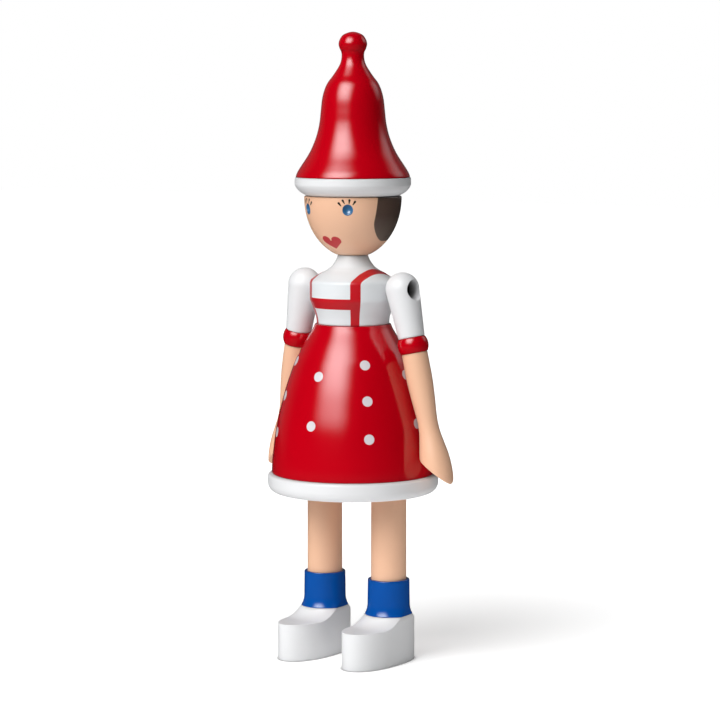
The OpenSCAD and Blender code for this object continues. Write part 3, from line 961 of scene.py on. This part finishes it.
# Arms
# Each is a turned sleeve with a round shoulder, a barrel-shaped cuff and a forearm whose
# hand ends in a slanting saw cut, all on one dowel. The counterbore in the shoulder holds
# the knot of the elastic cord.
arm_faces = 128
arm_lean = math.radians(12.01)
arm_backs = {"left": math.radians(2), "right": math.radians(4)}
shoulder_x = 20.8 * MM
shoulder_z = joint_at["left_shoulder"].z
sleeve_r = 5.7 * MM
sleeve_end_r = 4.45 * MM
sleeve_l = 16.4 * MM
sleeve_edge = 0.25 * MM
sleeve_steps = 40
bore_r = 3.4 * MM
bore_edge = 0.3 * MM
bore_floor_x = 17.8 * MM
bore_faces = 96
bore_wall_shares = [0.3, 0.6, 0.9, 1]
bore_patch_r = bore_r + 0.75 * MM
bore_patch_gap = 0.12 * MM
# Painted shade: down the counterbore the white darkens to near black.
bore_shade_full_x = 20.6 * MM
bore_shade_start_x = 24.2 * MM
bore_painted_shade = (0.012, 0.01, 0.009, 1)
# The painted shade's mask reaches a little past the bore's wall and floor.
bore_wall_margin = 0.05 * MM
bore_floor_margin = 0.5 * MM


def bore_pattern(tree, ground):
    """White, with painted shade that darkens the counterbore to near black towards its floor."""
    place = place_in(tree)
    away = vectors(tree, "SUBTRACT", place, (0, 0, shoulder_z))
    off_axis = vectors(tree, "LENGTH", vectors(tree, "MULTIPLY", away, (0, 1, 1)))
    inside = maths(tree, "LESS_THAN", off_axis, bore_r + bore_wall_margin)
    side = maths(tree, "ABSOLUTE", axes(tree, place)["X"])
    outer = maths(tree, "GREATER_THAN", side, bore_floor_x - bore_floor_margin)
    # Painted shade: the bore grows darker towards its floor, where little light reaches.
    depth = ranged(tree, side, bore_shade_start_x, bore_shade_full_x)
    return over(tree, ground, bore_painted_shade, times(tree, inside, outer, depth))


def counterbore(piece, side):
    """Cuts the knot's counterbore into the shoulder, along X, with an eased rim."""
    centre = Vector((side * shoulder_x, 0, shoulder_z))
    outward = Vector((side, 0, 0))
    floor_x = bore_floor_x - shoulder_x
    shape = bmesh.new()
    shape.from_mesh(piece.data)
    uncut = BVHTree.FromBMesh(shape)

    def shoulder_at(angle, radius):
        """How far out from its centre the uncut shoulder lies, at a place round the bore."""
        offset = Vector((0, radius * math.cos(angle), radius * math.sin(angle)))
        hit = uncut.ray_cast(centre + offset + outward * 2 * sleeve_r, -outward)[0]
        return (hit - centre).x * side

    doomed = [v for v in shape.verts if (v.co - centre).x * side > 0
              and math.hypot(v.co.y, v.co.z - shoulder_z) < bore_patch_r + bore_patch_gap]
    bmesh.ops.delete(shape, geom=doomed, context="VERTS")
    rim_edges = [e for e in shape.edges if e.is_boundary]
    columns = []
    for i in range(bore_faces):
        angle = math.tau * i / bore_faces
        outline = [Vector((r, shoulder_at(angle, r)))
                   for r in (bore_patch_r, (bore_patch_r + bore_r) / 2 + bore_edge / 2)]
        corner = Vector((bore_r, shoulder_at(angle, bore_r)))
        outline += eased(outline[-1], corner, (bore_r, floor_x), bore_edge)
        outline += [Vector((bore_r, corner.y + (floor_x - corner.y) * share))
                    for share in bore_wall_shares]
        outline += [Vector((bore_r / 2, floor_x)), Vector((0, floor_x))]
        column = []
        for radius, along in outline:
            if radius == 0 and columns:
                column.append(columns[0][-1])
                continue
            column.append(shape.verts.new(centre + Vector(
                (side * along, radius * math.cos(angle), radius * math.sin(angle)))))
        columns.append(column)
    outer = []
    for left, right in zip(columns, columns[1:] + columns[:1]):
        for i in range(len(left) - 1):
            corners = [left[i], left[i + 1], right[i + 1], right[i]]
            if left[i + 1] == right[i + 1]:
                corners.pop(2)
            shape.faces.new(corners)
        outer.append(shape.edges.get((left[0], right[0])))
    bmesh.ops.bridge_loops(shape, edges=rim_edges + outer)
    bmesh.ops.recalc_face_normals(shape, faces=shape.faces)
    shape.to_mesh(piece.data)
    shape.free()
    piece.data.shade_smooth()


cuff_l = 5.3 * MM
cuff_bulge = 0.75 * MM
cuff_edge = 0.3 * MM
forearm_l = 45.4 * MM
forearm_r = 4.35 * MM
wrist_r = 3.4 * MM
hand_r = 5.2 * MM
forearm_rises = [0, 0.2, 0.35, 0.47, 0.54, 0.61, 0.68, 0.76, 0.84, 0.92, 0.97, 1]
wrist_narrows = [0, 0, 0.42, 0.92, 1]
hand_swells = [0.14, 0.46, 0.82, 1, 0.98, 0.8, 0.4]
forearm_rows = 90
saw_slope = math.radians(48)
saw_turn = math.radians(25)
saw_height = 4.3 * MM
saw_edge = 0.45 * MM
saw_room = 1.3
saw_shares = [0.3, 0.6, 1]


def evenly(points, count):
    """The same line with evenly spaced points."""
    lengths = [0]
    for last, point in zip(points, points[1:]):
        lengths.append(lengths[-1] + (point - last).length)
    spread = []
    i = 0
    for k in range(count):
        goal = lengths[-1] * k / (count - 1)
        while i < len(points) - 2 and lengths[i + 1] < goal:
            i += 1
        share = (goal - lengths[i]) / (lengths[i + 1] - lengths[i])
        spread.append(points[i].lerp(points[i + 1], min(share, 1)))
    return spread


def sawn_forearm(side_curve, start_z, side):
    """Columns of a forearm whose outline ends on the plane of the saw cut."""
    slope = math.tan(saw_slope) * side
    cut_z = start_z - forearm_l + saw_height
    start = Vector((0, start_z))
    middle = Vector((0, cut_z))
    columns = []
    for i in range(arm_faces):
        angle = math.tau * i / arm_faces
        fall = slope * math.cos(angle - saw_turn * side)
        kept = [side_curve[0]]
        for last, point in zip(side_curve, side_curve[1:]):
            above = last.y - (cut_z - fall * last.x)
            below = point.y - (cut_z - fall * point.x)
            if below < 0:
                kept.append(last.lerp(point, above / (above - below)))
                break
            kept.append(point)
        line = evenly(kept, forearm_rows)
        corner = line[-1]
        body = [p for p in line[1:] if (p - corner).length > saw_room * saw_edge]
        body = evenly([line[0]] + body, forearm_rows - 2)
        top = eased(start, line[0], body[1], cuff_edge)
        face = eased(body[-1], corner, middle, saw_edge, steps=6)
        inner = [corner.lerp(middle, share) for share in saw_shares]
        columns.append((angle, [start] + top + body[1:] + face + inner))
    return columns


skin_paint = paint("skin_paint", skin, drift=0.06)
sleeve_paint = paint("sleeve_paint", white, drift=0.03, pattern=bore_pattern)
sleeve_side = [Vector((sleeve_end_r, -sleeve_l)).lerp(Vector((sleeve_r, 0)), i / sleeve_steps)
               for i in range(sleeve_steps)] + arc(0, 0, sleeve_r, 0, 90, steps=28)
sleeve_outline = flat_ended(sleeve_side, sleeve_edge, top_flat=False)
cuff_r = ((cuff_l / 2) ** 2 + cuff_bulge ** 2) / (2 * cuff_bulge)
cuff_sweep = math.degrees(math.asin(cuff_l / 2 / cuff_r))
cuff_side = arc(sleeve_end_r + cuff_bulge - cuff_r, -sleeve_l - cuff_l / 2, cuff_r,
                -cuff_sweep, cuff_sweep, steps=24)
cuff_outline = flat_ended(cuff_side, cuff_edge)
forearm_z = -sleeve_l - cuff_l
forearm_radii = (between(forearm_r, wrist_r, wrist_narrows)
                 + between(wrist_r, hand_r, hand_swells))
forearm_curve = curve_through(zip(forearm_radii, [forearm_z - forearm_l * rise
                                                  for rise in forearm_rises]), steps=10)

for name, side in (("left", 1), ("right", -1)):
    body = "arm_" + name
    place = (Matrix.Translation((side * shoulder_x, 0, shoulder_z))
             @ Matrix.Rotation(arm_backs[name], 4, "X")
             @ Matrix.Rotation(-side * arm_lean, 4, "Y"))
    sleeve = turned_piece("sleeve_" + name + "_wood", full_turn(sleeve_outline, arm_faces),
                          seams=[-sleeve_l], place=place)
    counterbore(sleeve, side)
    dress(sleeve, sleeve_paint, "white_paint", body, "sleeve_" + name)
    cuff = turned_piece("cuff_" + name + "_wood", full_turn(cuff_outline, arm_faces),
                        seams=[-sleeve_l, forearm_z], place=place)
    dress(cuff, red_paint, "red_paint", body, "cuff_" + name)
    forearm = turned_piece("forearm_" + name + "_wood",
                           sawn_forearm(forearm_curve, forearm_z, side),
                           seams=[forearm_z], place=place)
    dress(forearm, skin_paint, "skin_paint", body, "forearm_" + name)


# Legs, socks and shoes
# Each leg is a plain dowel, painted in skin colour and glued into its shoe. The shoe is a
# block with upright sides, and a hollow turned round the leg runs from its toe up into the
# blue sock.
shoe_faces = 192
toe_h = 12.6 * MM
toe_reach = 22.8 * MM
toe_power = 2.1
heel_reach = 10.8 * MM
heel_power = 2.6
widest_ahead = toe_reach * 0.39
shoe_edge = 0.3 * MM
shoe_side_shares = [0.08, 0.3, 0.6, 0.92]
sole_edge = 0.3 * MM
sole_margin = 1 * MM
instep_r = 7.2 * MM
# The upper edge is eased towards a point this far in, and the hollow starts just inside it.
instep_run = 0.8 * MM
instep_start = shoe_edge * 1.1
instep_least = 0.1 * MM
instep_rows = 24
sock_z = 16.2 * MM
sock_r = 7.1 * MM
sock_foot_r = 7.2 * MM
sock_foot_rows = 12
sock_side_shares = [0.3, 0.6, 0.9]
sock_rim = 0.4 * MM
leg_gap = 0.05 * MM
paint_line = 0.08 * MM
blue = (0.002, 0.08, 0.375, 1)

blue_paint = paint("blue_paint", blue, lacquered=True)
hollow_r = sock_foot_r + instep_r
hollow_z = toe_h + instep_r
seat_r = hollow_r - math.sqrt(instep_r ** 2 - (hollow_z - sock_z) ** 2)


def shoe_plan(half_width):
    """Where the shoe's edge lies round the leg, as angles and distances from its axis."""
    plan = []
    for i in range(shoe_faces):
        turn = math.tau * i / shoe_faces
        toe = math.sin(turn) < 0
        power = toe_power if toe else heel_power
        reach = toe_reach - widest_ahead if toe else heel_reach + widest_ahead
        x = half_width * math.copysign(abs(math.cos(turn)) ** (2 / power), math.cos(turn))
        y = reach * math.copysign(abs(math.sin(turn)) ** (2 / power), math.sin(turn))
        edge = Vector((x, y - widest_ahead))
        plan.append((math.atan2(edge.y, edge.x), edge.length))
    return plan


def hollow_height(radius):
    """Height of the shoe's upper face that far from the leg's axis."""
    if radius >= hollow_r:
        return toe_h
    drop = instep_r ** 2 - (hollow_r - radius) ** 2
    return min(sock_z, hollow_z - math.sqrt(max(drop, 0)))


def shoe_outline(radius):
    """Outline of the shoe: sole, upright side and the hollow up to the sock."""
    top = hollow_height(radius)
    outline = [Vector((0, 0)), Vector((radius / 2, 0)), Vector((radius - sole_margin, 0))]
    outline += eased((0, 0), (radius, 0), (radius, top), sole_edge)
    outline += [Vector((radius, sole_edge + (top - shoe_edge - sole_edge) * share))
                for share in shoe_side_shares]
    ahead = radius - instep_run
    outline += eased((radius, 0), (radius, top), (ahead, hollow_height(ahead)), shoe_edge)
    inner = min(seat_r, ahead - instep_least)
    start = radius - instep_start
    for k in range(1, instep_rows + 1):
        r = start + (inner - start) * k / instep_rows
        outline.append(Vector((r, hollow_height(r))))
    return outline + [Vector((inner - paint_line, sock_z)), Vector((inner / 2, sock_z)),
                      Vector((0, sock_z))]


def sock_outline(radius, bore, top_z):
    """Outline of the sock: flared foot, straight tube and a thin rim round the leg."""
    outline = [Vector((bore, sock_z))]
    for k in range(sock_foot_rows + 1):
        height = sock_z + (hollow_z - sock_z) * k / sock_foot_rows
        flare = hollow_r - math.sqrt(instep_r ** 2 - (hollow_z - height) ** 2)
        outline.append(Vector((min(flare, radius), height)))
    outline += [Vector((sock_foot_r, hollow_z)).lerp(Vector((sock_r, top_z)), share)
                for share in sock_side_shares]
    outline += eased(outline[-1], (sock_r, top_z), (bore, top_z), sock_rim)
    return outline + eased((sock_r, top_z), (bore, top_z), (bore, sock_z), sock_rim / 2)


def refinish(node, material):
    """Gives a solid of the frame its own material."""
    finishes = frame["nodes"][node].data.materials
    finishes.clear()
    finishes.append(material)


for name in ("left", "right"):
    body = "leg_" + name
    leg_low, leg_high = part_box("leg_" + name)
    shoe_low, shoe_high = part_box("shoe_" + name)
    sock_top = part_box("sock_" + name)[1].z
    bore = (leg_high.x - leg_low.x) / 2 + leg_gap
    middle = (leg_low + leg_high) / 2
    place = Matrix.Translation((middle.x, middle.y, 0))
    plan = shoe_plan((shoe_high.x - shoe_low.x) / 2)
    shoe = turned_piece("shoe_" + name + "_wood",
                        [(turn, shoe_outline(radius)) for turn, radius in plan],
                        seams=[sock_z], place=place)
    dress(shoe, white_paint, "white_paint", body, "shoe_" + name)
    sock = turned_piece("sock_" + name + "_wood",
                        [(turn, sock_outline(radius, bore, sock_top)) for turn, radius in plan],
                        ring=True, seams=[sock_top], place=place)
    dress(sock, blue_paint, "blue_paint", body, "sock_" + name)
    refinish("leg_" + name, skin_paint)


# Inner parts
# Beech dowels, the neck peg and the hip block join the turned pieces. The legs swing on a
# steel pin, and the arms turn on a black elastic cord with a washer under each knot.
scratch_scale = 4000
scratch_stretch = (0.05, 1, 1)
steel_dark = (0.5, 0.5, 0.5, 1)
steel_light = (0.66, 0.66, 0.65, 1)
steel_roughness = (0.3, 0.45)
braid_scale = 900
braid_slant = 0.8
braid_unevenness = 0.5
braid_depth = 0.1 * MM
braid_bump = 1.0
elastic_dark = (0.01, 0.01, 0.011, 1)
elastic_light = (0.05, 0.05, 0.055, 1)
elastic_roughness = (0.85, 0.6)


def drawn_steel():
    """Plain drawn steel with fine scratches along its length."""
    material, tree, shader = new_material("pin_steel")
    drawn = stretched(tree, place_in(tree), scratch_stretch)
    lines = noise(tree, drawn, scratch_scale, 3)
    feed(shader, {"Metallic": 1, "Base Color": over(tree, steel_dark, steel_light, lines),
                  "Roughness": ranged(tree, lines, 0.0, 1.0, *steel_roughness)})
    return material


def braided_elastic():
    """Black cord with a fine braided cover."""
    material, tree, shader = new_material("black_elastic")
    place = place_in(tree)
    weave = []
    for side in (-1, 1):
        slanted = wire(tree, "Mapping", {"Vector": place, "Rotation": (0, side * braid_slant, 0)})
        strands = wire(tree, "TexWave", {"Vector": slanted.outputs[0], "Scale": braid_scale,
                                         "Distortion": braid_unevenness})
        weave.append(strands.outputs["Fac"])
    height = either(tree, weave)
    feed(shader, {"Base Color": over(tree, elastic_dark, elastic_light, height),
                  "Normal": bumped(tree, height, braid_depth, braid_bump),
                  "Roughness": ranged(tree, height, 0.0, 1.0, *elastic_roughness)})
    return material


inner_finishes = [
    (beech("dowel_wood"), ("hat_dowel", "neck_peg", "waist_dowel", "hip_block",
                           "arm_dowel_left", "arm_dowel_right")),
    (drawn_steel(), ("hip_pin", "shoulder_washer_left", "shoulder_washer_right")),
    (braided_elastic(), ("shoulder_cord",)),
]
for material, nodes in inner_finishes:
    for node in nodes:
        refinish(node, material)
